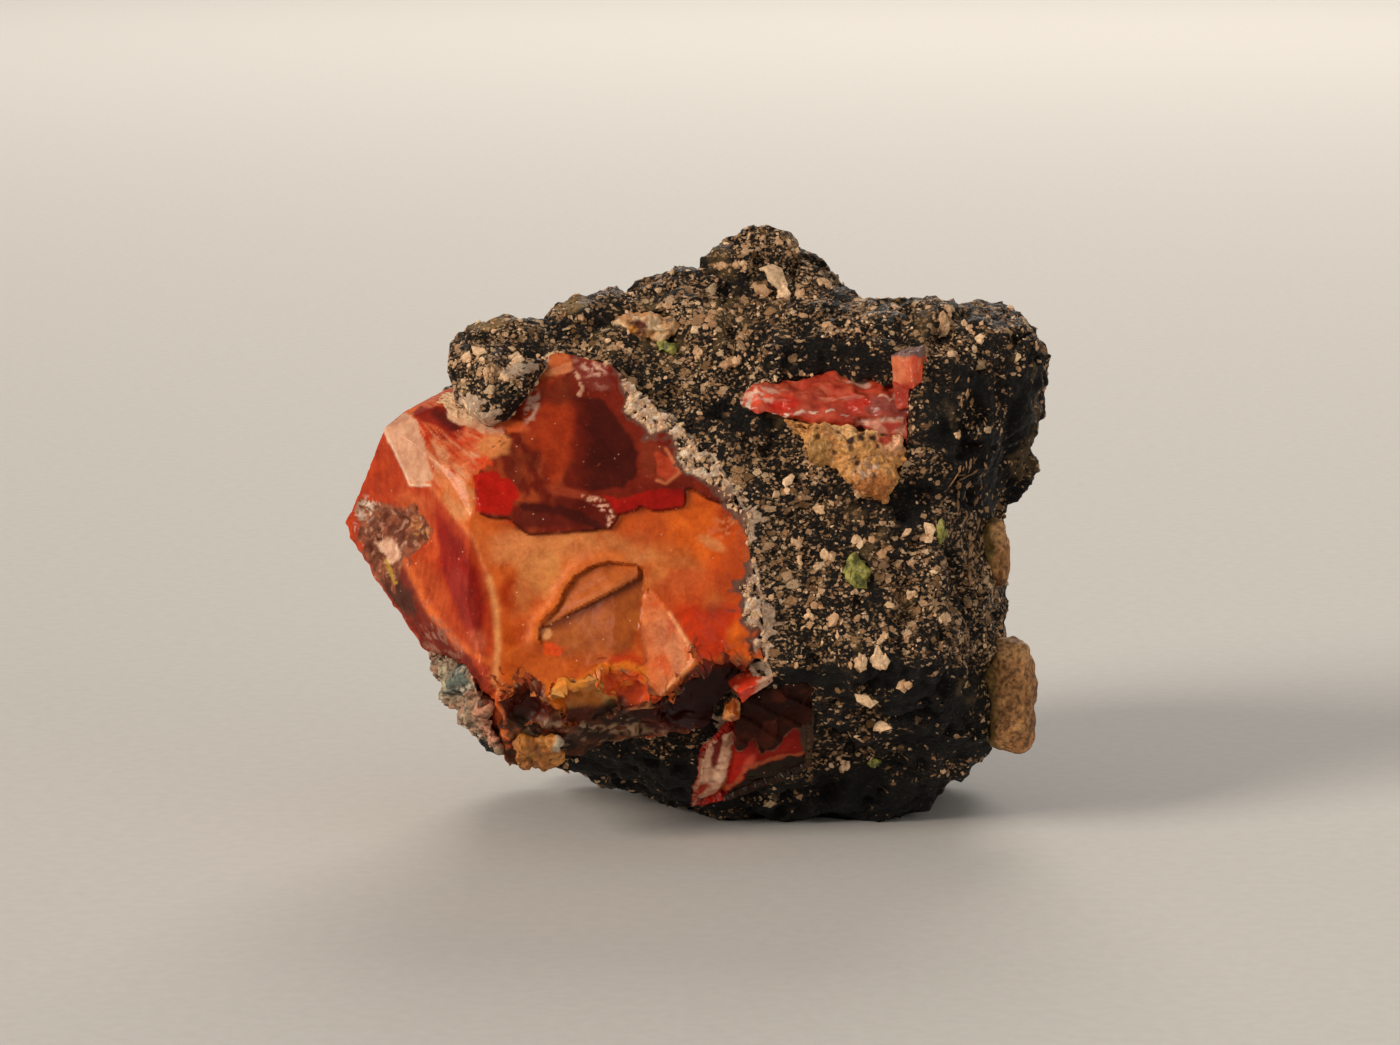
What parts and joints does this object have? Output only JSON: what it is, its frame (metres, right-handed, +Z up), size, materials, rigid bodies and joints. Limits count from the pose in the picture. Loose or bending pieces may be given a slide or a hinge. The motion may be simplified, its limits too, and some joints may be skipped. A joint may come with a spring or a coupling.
{
  "type": "rough carnelian in its matrix",
  "caption": "Rough mineral specimen: orange and red carnelian with conchoidal faces, held in a dark pale-flecked volcanic breccia that rests on a flat foot.",
  "frame": {"origin": "middle of the specimen's outline from above, on the surface it stands on", "axes": "+Z up, +X to the right and +Y away from the viewer, who sees the carnelian in front on the left"},
  "size_m": [0.0694, 0.0528, 0.0585],
  "materials": {
    "matrix": "dark rough rock with dense cream and white flecks",
    "carnelian": "glossy orange and red chalcedony, slightly translucent",
    "pink_carnelian": "glossy pinkish red chalcedony",
    "red_carnelian": "deep red chalcedony with grey bands",
    "tan_clast": "porous tan stone",
    "amber": "satin amber stone",
    "crust": "matt flaky crust",
    "brown_clast": "matt brown stone",
    "pebble": "worn tan stone with fine pits",
    "green_grain": "satin olive green mineral"
  },
  "bodies": {
    "root": {"matrix": "matrix", "carnelian": "carnelian", "carnelian_seam": "pink_carnelian", "carnelian_lower": "red_carnelian", "tan_clast": "tan_clast", "amber_clast": "amber", "pale_crust": "crust", "pebble_large": "pebble", "pebble_small": "pebble", "brown_clast": "brown_clast", "green_grain_1": "green_grain", "green_grain_2": "green_grain", "green_grain_3": "green_grain", "green_grain_4": "green_grain"}
  },
  "joints": []
}
